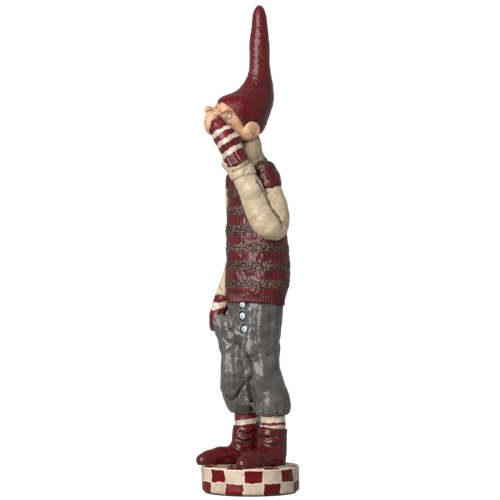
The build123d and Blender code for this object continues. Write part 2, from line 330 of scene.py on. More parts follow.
class Skin:
    """A surface of points and faces that takes fine detail along its normals."""

    def __init__(self, clay, smoothing=1):
        self.points, self.faces = clay.surface()
        self.node = clay.node
        self.cell = clay.cell
        self.marks = {}
        for _ in range(smoothing):
            self.points += 0.5 * (self.mean_of_neighbours(self.points) - self.points)
        self.normals = self.find_normals()

    def mean_of_neighbours(self, values):
        """Mean of each point's neighbours along the edges."""
        start = np.concatenate([self.faces[:, i] for i in range(4)])
        end = np.concatenate([self.faces[:, (i + 1) % 4] for i in range(4)])
        both, other = np.concatenate((start, end)), np.concatenate((end, start))
        count = np.bincount(both, minlength=len(self.points))
        flat = values.reshape(len(values), -1)
        sums = [np.bincount(both, weights=flat[other, k], minlength=len(flat)) for k in range(flat.shape[1])]
        return (np.stack(sums, 1) / count[:, None]).reshape(values.shape)

    def find_normals(self):
        a, b, c, d = (self.points[self.faces[:, i]] for i in range(4))
        face = np.cross(c - a, d - b)
        sums = np.zeros_like(self.points)
        for k in range(3):
            for i in range(4):
                sums[:, k] += np.bincount(self.faces[:, i], weights=face[:, k], minlength=len(self.points))
        return sums / np.maximum(np.linalg.norm(sums, axis=1, keepdims=True), 1e-9)

    def raise_by(self, height):
        """Moves every point out along its normal."""
        self.points = self.points + self.normals * np.asarray(height)[:, None]
        self.normals = self.find_normals()

    def grain(self, amount, size, seed=0):
        self.raise_by(amount * layered(self.points, size, seed, 2))

    def mark_near(self, name, places, reach):
        """Marks the surface near some places."""
        value = np.zeros(len(self.points))
        for place in places:
            value = np.maximum(value, np.exp(-((self.points - place) ** 2).sum(1) / reach**2))
        self.marks[name] = value

    def find_hollows(self, reach=6):
        """Marks how hollow the surface is: 1 deep in a crease, 0.5 flat, 0 on an edge."""
        far = self.points
        for _ in range(reach):
            far = self.mean_of_neighbours(far)
        depth = np.einsum("ij,ij->i", far - self.points, self.normals)
        for _ in range(3 * reach):
            far = self.mean_of_neighbours(far)
        broad = np.einsum("ij,ij->i", far - self.points, self.normals)
        self.marks["hollow"] = np.clip(0.5 + 0.9 * depth / self.cell + 0.22 * broad / self.cell, 0.0, 1.0)

    def build(self, name, material, bare=None, bare_reach=0.0):
        """Makes the Blender object, which stands for the CAD node that the clay was taken from.

        There is no wash or painted shade in the seams within a reach of a bare point."""
        self.find_hollows()
        # the seam mark darkens the paint next to other castings: painted shade between parts, with the wash
        # that collects there
        seam_wash_and_shade = 1.0 - smooth_step(distance_to_others(self.points, self.node), 0.25, 1.5)
        if bare is not None:
            to_bare = np.linalg.norm(self.points - bare, axis=1)
            seam_wash_and_shade = seam_wash_and_shade * smooth_step(to_bare, bare_reach - 2.0, bare_reach)
        self.marks["seam_wash_and_shade"] = seam_wash_and_shade
        mesh = bpy.data.meshes.new(name)
        mesh.vertices.add(len(self.points))
        mesh.vertices.foreach_set("co", (self.points * MM).astype(np.float32).ravel())
        mesh.loops.add(self.faces.size)
        mesh.loops.foreach_set("vertex_index", self.faces.astype(np.int32).ravel())
        mesh.polygons.add(len(self.faces))
        mesh.polygons.foreach_set("loop_start", np.arange(0, self.faces.size, 4, dtype=np.int32))
        mesh.update(calc_edges=True)
        mesh.validate()
        for mark, values in self.marks.items():
            layer = mesh.attributes.new(mark, "FLOAT", "POINT")
            layer.data.foreach_set("value", np.asarray(values, np.float32))
        mesh.polygons.foreach_set("use_smooth", np.ones(len(mesh.polygons), bool))
        mesh.materials.append(material)
        piece = bpy.data.objects.new(name, mesh)
        bpy.context.scene.collection.objects.link(piece)
        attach(piece, "root")
        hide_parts(self.node)


# ---- colours, linear ----------------------------------------------------------------------
CRIMSON = (0.118, 0.0028, 0.0060)
CRIMSON_DEEP = (0.070, 0.0018, 0.0036)
CRIMSON_LIGHT = (0.170, 0.0048, 0.0100)
CRIMSON_WORN = (0.30, 0.07, 0.06)
STRIPE_RIM = (0.035, 0.012, 0.01)
BASE_RED = (0.150, 0.0020, 0.0055)
BASE_RED_DEEP = (0.080, 0.0025, 0.0050)
CLOTH = (0.47, 0.370, 0.245)
CLOTH_LIGHT = (0.57, 0.465, 0.330)
CLOTH_DARK = (0.31, 0.225, 0.130)
CLOTH_OCHRE = (0.30, 0.135, 0.022)
CLOTH_STAIN = (0.33, 0.185, 0.06)
COLLAR = (0.48, 0.375, 0.265)
COLLAR_DARK = (0.34, 0.245, 0.160)
CREAM = (0.58, 0.455, 0.360)
CREAM_LIGHT = (0.64, 0.54, 0.43)
CREAM_DARK = (0.40, 0.310, 0.225)
OUTLINE = (0.72, 0.60, 0.45)
FLESH = (0.52, 0.265, 0.155)
FLESH_LIGHT = (0.66, 0.390, 0.240)
FLESH_WEATHERED = (0.34, 0.125, 0.075)
FLESH_OCHRE = (0.36, 0.18, 0.045)
BLUSH = (0.50, 0.20, 0.125)
GREY = (0.060, 0.056, 0.050)
GREY_LIGHT = (0.110, 0.107, 0.100)
GREY_WORN = (0.30, 0.29, 0.27)
OLIVE = (0.055, 0.058, 0.044)
KNIT_RED = (0.098, 0.0024, 0.0050)
KNIT_DEEP = (0.056, 0.0016, 0.0030)
# painted highlight for the tops of the red stitches, and painted shade for the pits between them
KNIT_TIP_HIGHLIGHT = (0.135, 0.006, 0.011)
KNIT_PIT_SHADE = (0.022, 0.006, 0.006)
BAND_BROWN = (0.070, 0.026, 0.015)
BAND_LIGHT = (0.12, 0.05, 0.035)
# painted highlight for the tops of the brown bobbles, and painted shade for the pits between them
BAND_TIP_HIGHLIGHT = (0.24, 0.125, 0.062)
BAND_PIT_SHADE = (0.016, 0.007, 0.005)
BUTTON_BLUE = (0.42, 0.53, 0.60)
BUTTON_LIGHT = (0.60, 0.66, 0.70)
BUTTON_DARK = (0.06, 0.085, 0.095)
EYE_WHITE = (0.80, 0.78, 0.72)
EYE_RIM = (0.30, 0.15, 0.07)
IRIS = (0.030, 0.055, 0.11)
PUPIL = (0.006, 0.006, 0.008)
NEAR_BLACK = (0.012, 0.008, 0.006)
FELT = (0.10, 0.085, 0.08)
FELT_DARK = (0.035, 0.028, 0.026)
STEEL = (0.6, 0.6, 0.61)
STEEL_DARK = (0.35, 0.35, 0.36)
# dark brown of the antiquing wash, which also serves as painted shade in hollows and seams
WASH_AND_SHADE = (0.03, 0.018, 0.012)
SPECULAR = 0.36


# ---- paint --------------------------------------------------------------------------------
class Paint:
    """A node material in short form."""

    def __init__(self, name):
        self.material = bpy.data.materials.new(name)
        self.material.use_nodes = True
        self.tree = self.material.node_tree
        self.shader = self.tree.nodes["Principled BSDF"]
        self.place = self.node("TexCoord", {}, "Object")

    def link(self, source, socket):
        """Links an output to a socket, or sets the socket to a value."""
        if hasattr(source, "links"):
            self.tree.links.new(source, socket)
        else:
            socket.default_value = source

    def node(self, kind, inputs, output=0, **settings):
        """Adds a node with its settings and inputs, and gives one of its outputs."""
        node = self.tree.nodes.new("ShaderNode" + kind)
        for name, value in settings.items():
            setattr(node, name, value)
        for name, value in inputs.items():
            self.link(value, node.inputs[name])
        return node.outputs[output]

    def shade(self, values):
        """Sets or links inputs of the shader, by name."""
        for name, value in values.items():
            self.link(value, self.shader.inputs[name])

    def noise(self, size, detail=2.0, rough=0.5, stretch=None):
        """Noise with features of a size in millimetres."""
        place = self.place
        if stretch:
            place = self.node("VectorMath", {0: place, 1: stretch}, operation="MULTIPLY")
        inputs = {"Vector": place, "Scale": 1.0 / (size * MM), "Detail": detail, "Roughness": rough}
        return self.node("TexNoise", inputs, "Fac")

    def mark(self, name):
        """A mark left on the skin."""
        return self.node("Attribute", {}, "Fac", attribute_name=name)

    def math(self, operation, a, b=0.0):
        return self.node("Math", {0: a, 1: b}, operation=operation)

    def times(self, a, b):
        return self.math("MULTIPLY", a, b)

    def plus(self, a, b):
        return self.math("ADD", a, b)

    def minus(self, a, b):
        return self.math("SUBTRACT", a, b)

    def span(self, value, start, end, out_start=0.0, out_end=1.0):
        """Maps a range of a value onto another range."""
        inputs = {"Value": value, "From Min": start, "From Max": end, "To Min": out_start, "To Max": out_end}
        return self.node("MapRange", inputs, "Result")

    def patches(self, size, detail, start, end, out_start=0.0, out_end=1.0, rough=0.5, stretch=None):
        """Noise of a size, with a range of it mapped onto another range."""
        return self.span(self.noise(size, detail, rough, stretch), start, end, out_start, out_end)

    def mix(self, factor, a, b):
        """Mixes two colours."""
        inputs = {"Factor": factor}
        for name, colour in (("A", a), ("B", b)):
            inputs[name] = (*colour, 1.0) if isinstance(colour, tuple) else colour
        return self.node("Mix", inputs, "Result", data_type="RGBA")

    def within(self, value, start, end, edge=0.12):
        """1 where a value lies between two limits, with a narrow painted edge."""
        rise = self.span(value, start - edge, start + edge)
        fall = self.span(value, end - edge, end + edge, 1.0, 0.0)
        return self.math("MINIMUM", rise, fall)

    def coordinates(self):
        """Place in millimetres along X, Y and Z."""
        split = self.node("SeparateXYZ", {0: self.place}).node
        return [self.times(output, 1.0 / MM) for output in split.outputs]

    def relief(self, height, depth, strength=1.0):
        """Fine relief from a height, its depth in millimetres."""
        return self.node("Bump", {"Strength": strength, "Distance": depth * MM, "Height": height}, "Normal")

    def finish(self, colour, wash_and_shade=WASH_AND_SHADE, wash_and_shade_strength=0.75, roughness=(0.22, 0.42),
               grain=1.1, grain_height=0.08, coat=0.25, worn=None, specular=SPECULAR):
        """Adds antiquing wash together with painted shade in the hollows and along the seams with other
        castings, worn edges, gloss with brush marks, and fine grain.
        """
        hollow = self.mark("hollow")
        # darker in hollows and next to other castings: antiquing wash together with painted shade, where
        # shade falls in creases and between parts
        wash_and_shade_mask = self.times(self.span(hollow, 0.56, 0.86), self.patches(3.0, 3.0, 0.25, 0.6, 0.6, 1.0))
        seam_wash_and_shade = self.times(self.mark("seam_wash_and_shade"), self.patches(2.0, 3.0, 0.34, 0.6, 0.35, 1.1))
        wash_and_shade_mask = self.math("MINIMUM", self.math("MAXIMUM", wash_and_shade_mask, seam_wash_and_shade), 1.0)
        if worn is not None:
            edges = self.times(self.span(hollow, 0.36, 0.16), self.patches(1.4, 2.0, 0.48, 0.62))
            colour = self.mix(self.times(edges, 0.7), colour, worn)
        self.shade({
            "Base Color": self.mix(self.times(wash_and_shade_mask, wash_and_shade_strength), colour, wash_and_shade),
            "Roughness": self.patches(5.0, 3.0, 0.3, 0.7, *roughness, rough=0.6),
            "Specular IOR Level": specular,
            "Coat Weight": coat,
            "Coat Roughness": 0.22,
            "Normal": self.relief(self.noise(grain, 3.0, 0.6), grain_height, 0.6),
        })
        return self.material


def crimson_paint(name, roughness, grain, grain_height, depth, wear, dull_gloss=1.0):
    """Crimson in long streaks; dull_gloss is the share of the gloss left where it is marked dull."""
    paint = Paint(name)
    shades = (CRIMSON_DEEP, CRIMSON, CRIMSON_LIGHT)
    deep, main, light = (tuple(depth * part for part in shade) for shade in shades)
    streaks = paint.patches(9.0, 3.0, 0.36, 0.66, rough=0.6, stretch=(1.0, 1.0, 0.35))
    colour = paint.mix(streaks, deep, main)
    colour = paint.mix(paint.patches(4.0, 2.0, 0.58, 0.74, 0.0, 0.5), colour, light)
    worn = tuple(a + wear * (b - a) for a, b in zip(main, CRIMSON_WORN))
    coat = 0.22
    material = paint.finish(colour, wash_and_shade_strength=0.7, roughness=roughness, grain=grain,
                            grain_height=grain_height, coat=coat, worn=worn)
    if dull_gloss < 1.0:
        gloss = paint.span(paint.mark("dull"), 0.0, 0.9, 1.0, dull_gloss)
        paint.shade({
            "Coat Weight": paint.times(gloss, coat),
            "Specular IOR Level": paint.times(gloss, SPECULAR),
        })
    return material


def grey_paint():
    paint = Paint("trouser_grey")
    colour = paint.mix(paint.patches(8.0, 4.0, 0.36, 0.68, rough=0.6), GREY, GREY_LIGHT)
    colour = paint.mix(paint.patches(14.0, 2.0, 0.5, 0.7, 0.0, 0.35), colour, OLIVE)
    return paint.finish(colour, wash_and_shade=(0.010, 0.009, 0.008), wash_and_shade_strength=0.9, roughness=(0.20, 0.34),
                        grain=1.0, grain_height=0.14, coat=0.3, worn=GREY_WORN)


def cloth_paint(name, main, light, dark):
    """Cream with warm patches, thin brown stains and dribbles of ochre at the marked places."""
    paint = Paint(name)
    colour = paint.mix(paint.patches(7.0, 4.0, 0.35, 0.65, rough=0.6), main, light)
    colour = paint.mix(paint.patches(3.4, 4.0, 0.52, 0.74, 0.0, 0.7, rough=0.65), colour, dark)
    flecks = paint.patches(1.1, 3.0, 0.60, 0.70, 0.0, 0.6, rough=0.6, stretch=(1.0, 1.0, 0.45))
    colour = paint.mix(flecks, colour, dark)
    ochre = paint.times(paint.mark("stain"), paint.patches(1.5, 3.0, 0.42, 0.58, rough=0.6))
    colour = paint.mix(paint.times(ochre, 0.85), colour, CLOTH_OCHRE)
    stain = paint.times(paint.patches(11.0, 2.0, 0.56, 0.68), paint.patches(1.7, 3.0, 0.52, 0.66))
    colour = paint.mix(paint.times(stain, 0.55), colour, CLOTH_STAIN)
    return paint.finish(colour, wash_and_shade=(0.075, 0.042, 0.020), wash_and_shade_strength=0.92, roughness=(0.30, 0.46),
                        grain=1.2, grain_height=0.16, coat=0.2)


def flesh_paint():
    """Flesh with a blush, weathered at the marked stains and ochre round the eyes."""
    paint = Paint("flesh")
    colour = paint.mix(paint.patches(5.0, 4.0, 0.36, 0.64, rough=0.6), FLESH, FLESH_LIGHT)
    colour = paint.mix(paint.patches(9.0, 2.0, 0.52, 0.7, 0.0, 0.55), colour, BLUSH)
    weathered = paint.times(paint.mark("stain"), paint.patches(2.2, 3.0, 0.30, 0.55, 0.5, 1.0))
    colour = paint.mix(paint.times(weathered, 0.8), colour, FLESH_WEATHERED)
    ochre = paint.times(paint.mark("ochre"), paint.patches(1.6, 3.0, 0.35, 0.6, 0.3, 1.0))
    colour = paint.mix(paint.times(ochre, 0.75), colour, FLESH_OCHRE)
    return paint.finish(colour, wash_and_shade=(0.105, 0.045, 0.016), wash_and_shade_strength=0.65, roughness=(0.26, 0.42),
                        grain_height=0.1, coat=0.25)


def striped_paint(name, stripes, unsteady):
    """Red with cream stripes between given distances along the piece, drawn with an unsteady hand."""
    paint = Paint(name)
    along = paint.plus(paint.mark("along"), paint.patches(3.4, 2.0, 0.3, 0.7, -unsteady, unsteady))
    red = paint.mix(paint.patches(4.0, 3.0, 0.38, 0.66), CRIMSON_DEEP, CRIMSON_LIGHT)
    cream = paint.mix(paint.patches(2.0, 3.0, 0.4, 0.7), CREAM_LIGHT, CREAM_DARK)
    rim_width = 0.22
    stripe = rim = 0.0
    for start, end in stripes:
        stripe = paint.math("MAXIMUM", stripe, paint.within(along, start, end))
        rim = paint.math("MAXIMUM", rim, paint.within(along, start - rim_width, end + rim_width))
    colour = paint.mix(stripe, paint.mix(rim, red, STRIPE_RIM), cream)
    return paint.finish(colour, wash_and_shade=(0.03, 0.012, 0.01), wash_and_shade_strength=0.65, roughness=(0.24, 0.4), coat=0.3)


def knit_paint():
    """Crimson knit with bands of brown bobbles; the raised stitches take a painted highlight and the pits
    between them painted shade.
    """
    paint = Paint("knitted_crimson")
    knit = paint.mark("knit")
    streaks = paint.patches(4.0, 3.0, 0.36, 0.66, rough=0.6, stretch=(1.0, 1.0, 0.5))
    red = paint.mix(streaks, KNIT_DEEP, KNIT_RED)
    # painted highlight on the raised stitches, then painted shade in the low pits between them
    red = paint.mix(paint.times(paint.span(knit, 0.55, 1.0), 0.5), red, KNIT_TIP_HIGHLIGHT)
    red = paint.mix(paint.times(paint.span(knit, 0.25, 0.0), 0.55), red, KNIT_PIT_SHADE)
    brown = paint.mix(paint.patches(2.6, 2.0, 0.4, 0.62), BAND_BROWN, BAND_LIGHT)
    # painted highlight on the bobble tops, then painted shade in the pits between bobbles
    brown = paint.mix(paint.times(paint.span(knit, 0.62, 1.0), 0.85), brown, BAND_TIP_HIGHLIGHT)
    pit_shade = paint.times(paint.span(knit, 0.55, 0.22), paint.patches(3.2, 2.0, 0.3, 0.5, 0.5, 1.0))
    brown = paint.mix(pit_shade, brown, BAND_PIT_SHADE)
    edge = paint.plus(paint.mark("band"), paint.patches(1.6, 2.0, 0.3, 0.7, -0.28, 0.28))
    colour = paint.mix(paint.span(edge, 0.40, 0.56), red, brown)
    return paint.finish(colour, wash_and_shade=(0.02, 0.007, 0.006), wash_and_shade_strength=0.6, roughness=(0.26, 0.42),
                        grain=1.1, grain_height=0.10, coat=0.2)


def checked_paint():
    """Two rows of hand-painted checks round the base, carried on over its top in rings."""
    columns, first_column = 16.0, 8.0 / 22.5
    column_width, row_height, ring_width = 11.8, 7.9, 8.6
    past_rim, rim_height, above = 1.2, 0.75, 9.0
    paint = Paint("checked_base")
    x, y, z = paint.coordinates()
    turns = paint.times(paint.math("ARCTAN2", y, x), columns / (2.0 * math.pi))
    wobble = paint.patches(5.0, 2.0, 0.3, 0.7, -0.075, 0.075)
    column = paint.plus(paint.minus(turns, first_column), paint.plus(wobble, columns))
    radius = paint.math("SQRT", paint.plus(paint.times(x, x), paint.times(y, y)))
    wave = paint.patches(7.0, 2.0, 0.3, 0.7, -0.5, 0.5)
    height = paint.plus(z, wave)
    rim = BASE_TOP - rim_height
    at_rim = paint.plus(z, paint.times(wave, 0.3))
    on_top = paint.within(at_rim, rim, BASE_TOP + above, 0.1)
    side_row = paint.span(height, row_height - 0.01, row_height + 0.01)
    inward = paint.minus(BASE_RADIUS + past_rim, paint.plus(radius, wave))
    top_row = paint.plus(paint.math("FLOOR", paint.math("DIVIDE", inward, ring_width)), 2.0)
    row = paint.plus(paint.times(side_row, paint.minus(1.0, on_top)), paint.times(top_row, on_top))
    cell = paint.plus(paint.math("FLOOR", column), paint.math("ROUND", row))
    odd = paint.math("GREATER_THAN", paint.math("MODULO", cell, 2.0), 0.5)
    part = paint.math("FRACT", column)
    to_column_edge = paint.times(paint.math("MINIMUM", part, paint.minus(1.0, part)), column_width)
    to_row_edge = paint.math("ABSOLUTE", paint.minus(height, row_height))
    to_rim = paint.math("ABSOLUTE", paint.minus(at_rim, rim))
    to_line = paint.math("MINIMUM", paint.math("MINIMUM", to_column_edge, to_row_edge), to_rim)
    line = paint.math("LESS_THAN", to_line, paint.patches(2.5, 2.0, 0.3, 0.7, 0.16, 0.44))
    red = paint.mix(paint.patches(5.0, 4.0, 0.34, 0.68, rough=0.65), BASE_RED_DEEP, BASE_RED)
    cream = paint.mix(paint.patches(8.0, 3.0, 0.4, 0.7), CREAM, CREAM_DARK)
    cream = paint.mix(paint.patches(3.0, 2.0, 0.5, 0.7, 0.0, 0.5), cream, CREAM_LIGHT)
    colour = paint.mix(paint.times(line, 0.9), paint.mix(odd, red, cream), OUTLINE)
    return paint.finish(colour, wash_and_shade=(0.05, 0.022, 0.014), wash_and_shade_strength=0.7, roughness=(0.18, 0.34),
                        coat=0.12, specular=0.2)


def button_paint():
    """Light blue with a dark rim and a dark spot in the middle."""
    paint = Paint("button_blue")
    out = paint.plus(paint.mark("out"), paint.patches(1.1, 2.0, 0.3, 0.7, -0.22, 0.22))
    colour = paint.mix(paint.patches(1.2, 2.0, 0.4, 0.65), BUTTON_BLUE, BUTTON_LIGHT)
    colour = paint.mix(paint.span(out, 0.62, 0.42), colour, BUTTON_DARK)
    colour = paint.mix(paint.span(out, 1.95, 2.2), colour, NEAR_BLACK)
    return paint.finish(colour, wash_and_shade_strength=0.4, roughness=(0.2, 0.34), coat=0.4)


def eye_paint():
    """A white bead with a dark pupil."""
    paint = Paint("eye_bead")
    off = paint.mark("off_pupil")
    colour = paint.mix(paint.span(off, 0.52, 0.44), EYE_WHITE, IRIS)
    colour = paint.mix(paint.span(off, 0.30, 0.24), colour, PUPIL)
    colour = paint.mix(paint.span(off, 1.15, 1.45), colour, EYE_RIM)
    return paint.finish(colour, wash_and_shade_strength=0.2, roughness=(0.06, 0.12), grain_height=0.01, coat=0.8)


def felt_paint():
    paint = Paint("felt")
    paint.shade({
        "Base Color": paint.mix(paint.patches(0.7, 4.0, 0.35, 0.65), FELT_DARK, FELT),
        "Roughness": 0.95,
        "Normal": paint.relief(paint.noise(0.4, 4.0, 0.7), 0.3),
    })
    return paint.material


def steel_paint():
    paint = Paint("drawn_steel")
    streaks = paint.noise(0.5, stretch=(1.0, 1.0, 0.02))
    paint.shade({
        "Base Color": paint.mix(streaks, STEEL_DARK, STEEL),
        "Roughness": paint.span(streaks, 0.3, 0.7, 0.25, 0.45),
        "Metallic": 1.0,
    })
    return paint.material


# ---- stage, lights and camera -------------------------------------------------------------
def area_light(name, location, target, width, height, power, colour=(1.0, 1.0, 1.0)):
    light = bpy.data.lights.new(name, "AREA")
    light.shape = "RECTANGLE"
    light.size, light.size_y = width, height
    light.energy = power
    light.color = colour
    lamp = bpy.data.objects.new(name, light)
    lamp.location = location
    lamp.rotation_euler = (Vector(target) - Vector(location)).to_track_quat("-Z", "Y").to_euler()
    bpy.context.scene.collection.objects.link(lamp)
    return lamp


def make_floor():
    """A pale floor that curves up all round into a wall, in metres."""
    flat, curve, wall = 2.4, 1.6, 5.0
    steps, around = 12, 64
    profile = [(0.001, 0.0), (0.5, 0.0), (1.2, 0.0), (flat, 0.0)]
    for step in range(1, steps + 1):
        turn = 0.5 * math.pi * step / steps
        profile.append((flat + curve * math.sin(turn), curve * (1.0 - math.cos(turn))))
    profile.append((flat + curve, wall))
    points, faces = [], []
    for radius, height in profile:
        for k in range(around):
            angle = 2 * math.pi * k / around
            points.append((radius * math.cos(angle), radius * math.sin(angle), height))
    for row in range(0, len(points) - around, around):
        for k in range(around):
            after = (k + 1) % around
            faces.append((row + k, row + after, row + around + after, row + around + k))
    mesh = bpy.data.meshes.new("floor")
    mesh.from_pydata(points, [], faces)
    mesh.polygons.foreach_set("use_smooth", [True] * len(faces))
    floor = bpy.data.objects.new("floor", mesh)
    bpy.context.scene.collection.objects.link(floor)
    floor.visible_glossy = False
    floor.visible_diffuse = False
    paint = Paint("pale_floor")
    colour = paint.mix(paint.noise(60.0), (0.86, 0.86, 0.86), (0.88, 0.88, 0.88))
    paint.shade({"Base Color": colour, "Roughness": 0.9, "Specular IOR Level": 0.0,
                 "Emission Color": colour, "Emission Strength": 0.80})
    mesh.materials.append(paint.material)


def make_studio():
    """Soft studio light and the camera, in metres."""
    world = bpy.data.worlds.new("studio")
    world.use_nodes = True
    background = world.node_tree.nodes["Background"]
    background.inputs["Color"].default_value = (1.0, 1.0, 1.0, 1.0)
    background.inputs["Strength"].default_value = 0.36
    bpy.context.scene.world = world

    right, ahead = Vector(SIDEWAYS), Vector(AHEAD)
    tall = cad_bounds[1][2] - cad_bounds[0][2]
    centre = Vector((0.0, 0.0, cad_bounds[0][2] + 0.4966 * tall)) - 0.0002 * right
    distance = 1.35
    camera_data = bpy.data.cameras.new("camera")
    camera_data.sensor_width = 36.0
    camera_data.lens = camera_data.sensor_width * distance / (1.0268 * tall)
    camera = bpy.data.objects.new("camera", camera_data)
    camera.location = centre - ahead * distance
    camera.rotation_euler = ahead.to_track_quat("-Z", "Y").to_euler()
    bpy.context.scene.collection.objects.link(camera)
    bpy.context.scene.camera = camera

    def spot(to_right, toward, up):
        """A place by its distances to the camera's right, toward the camera and up."""
        return centre + right * to_right - ahead * toward + Vector((0, 0, up))

    area_light("key", spot(-0.62, 0.92, 0.30), centre, 0.8, 0.9, 16.5, (1.0, 0.985, 0.96))
    fill = area_light("fill", spot(0.9, 0.9, 0.1), centre, 0.3, 0.9, 2.0)
    top = area_light("top", spot(-0.3, 0.2, 1.0), centre, 0.5, 0.5, 4.0)
    for lamp in (fill, top):
        lamp.visible_glossy = False


make_floor()
make_studio()
bpy.context.scene.view_settings.view_transform = "Standard"

# ---- materials ----------------------------------------------------------------------------
HAT_PAINT = crimson_paint("hat_crimson", (0.17, 0.28), 1.0, 0.46, 1.0, 0.1, dull_gloss=0.35)
BOOT_PAINT = crimson_paint("boot_crimson", (0.20, 0.32), 1.4, 0.12, 0.8, 0.35)
GREY_PAINT = grey_paint()
CLOTH_PAINT = cloth_paint("cream_cloth", CLOTH, CLOTH_LIGHT, CLOTH_DARK)
COLLAR_PAINT = cloth_paint("collar_cloth", COLLAR, CLOTH, COLLAR_DARK)
FLESH_PAINT = flesh_paint()
KNIT_PAINT = knit_paint()
CHECKED_PAINT = checked_paint()
BUTTON_PAINT = button_paint()
EYE_PAINT = eye_paint()
FELT_PAINT = felt_paint()
STEEL_PAINT = steel_paint()


# ---- the castings -------------------------------------------------------------------------
def make_base():
    clay = Clay("base_disc", cell=0.45)
    clay.unevenness(0.32, 11.0, 3)
    clay.unevenness(0.08, 2.6, 5)
    skin = Skin(clay, 2)
    skin.build("base", CHECKED_PAINT)


def make_boot(side):
    node = f"{side}_shoe"
    lo, hi = low(node), high(node)
    ankle = middle(f"{side}_sock")
    clay = Clay(node, cell=0.36)
    # the folds are lines seen from the camera, by distances sideways and above the sole
    if side == "left":
        toe = np.array((middle(node)[0], lo[1] + 2.6, lo[2] + 2.7))
        folds = (
            ((4.2, 19.8), (6.5, 14.5), (2.8, 9.3)),
            ((8.1, 13.4), (12.1, 11.6), (18.0, 13.4)),
            ((-1.9, 7.5), (3.4, 7.5), (7.5, 4.0)),
            ((6.0, 17.6), (10.0, 16.4), (14.6, 18.0)),
        )
    else:
        toe = np.array((lo[0] + 3.0, lo[1] + 2.4, lo[2] + 2.6))
        folds = (
            ((-6.3, 19.0), (-3.1, 17.6), (1.6, 19.0)),
            ((-7.7, 14.5), (-3.6, 12.8), (1.6, 14.5)),
            ((-10.6, 10.4), (-6.3, 7.5), (-1.9, 8.7)),
            ((-14.0, 8.0), (-12.6, 5.0), (-9.0, 3.6)),
        )
    heel = np.array((ankle[0], hi[1] - 4.5, lo[2] + 5.0))
    clay.add([toe, toe + 0.3 * (heel - toe) + (0, 0, 0.8)], [2.9, 3.6], 2.5)
    along = unit(heel - toe)
    across = np.array((along[1], -along[0], 0.0))
    front = ankle - 2.6 * along
    clay.add([(front[0], front[1], lo[2] + 9.0), (front[0], front[1], lo[2] + 18.0)], [7.2, 6.6], 5.0)
    clay.add([toe + 7.0 * along + (0, 0, 1.0), toe + 14.0 * along + (0, 0, 1.6)], [3.8, 4.6], 5.0)
    arch = toe + 9.0 * along
    for way in (-1, 1):
        back = arch + 6.0 * along + way * 6.6 * across + (0, 0, -1.6)
        clay.press([arch + way * 5.4 * across + (0, 0, -1.2), back], 1.6, 0.7)
    for fold in folds:
        clay.press_seen((*((sideways, lo[2] + up) for sideways, up in fold), 1.2, 1.1))
    # creases round the front of the shaft
    for step, height in enumerate((9.5, 13.0, 17.0)):
        centre = np.array((ankle[0], ankle[1], lo[2] + height))
        reach = 7.6 + 0.4 * step
        fold = [centre + reach * np.array((math.cos(a), math.sin(a), 0.07 * (step - 1) * math.cos(a)))
                for a in np.linspace(-2.6 + 0.3 * step, -0.4 + 0.4 * step, 7)]
        clay.press(fold, 0.9, 0.55)
    clay.unevenness(0.30, 7.0, 11 if side == "left" else 12)
    clay.unevenness(0.07, 2.2, 21)
    clay.stay_above(lo[2] - 0.2)
    Skin(clay).build(f"{side}_boot", BOOT_PAINT)


def make_sock(side):
    node = f"{side}_sock"
    lo = low(node)
    centre = middle(node)
    clay = Clay(node, cell=0.36)
    girth = 7.3 if side == "left" else 8.0
    clay.add([centre - (0, 0, 3.0), centre + (0, 0, 3.0)], [girth, girth], 1.5)
    clay.unevenness(0.22, 4.0, 31)
    skin = Skin(clay)
    tilt = 0.02 if side == "left" else 0.16
    to_right = (skin.points[:, 0] - centre[0]) * 0.79 + (skin.points[:, 1] - centre[1]) * 0.62
    skin.marks["along"] = skin.points[:, 2] - lo[2] - tilt * to_right
    stripes = ((-1.0, 2.6), (4.4, 8.2)) if side == "left" else ((2.2, 5.2),)
    paint = striped_paint(f"{side}_sock_stripes", stripes, 0.55)
    skin.build(f"{side}_sock_casting", paint)


def below_waist(*places):
    """The same places with the last number taken as a distance below the waist."""
    return [(*place[:-1], WAIST - place[-1]) for place in places]


def press_below_waist(clay, *lines):
    """Presses lines into clay, each given as places seen below the waist, a width and a depth."""
    for *places, width, depth in lines:
        clay.press_seen((*below_waist(*places), width, depth))


BUTTONS = ("upper", "middle", "lower")


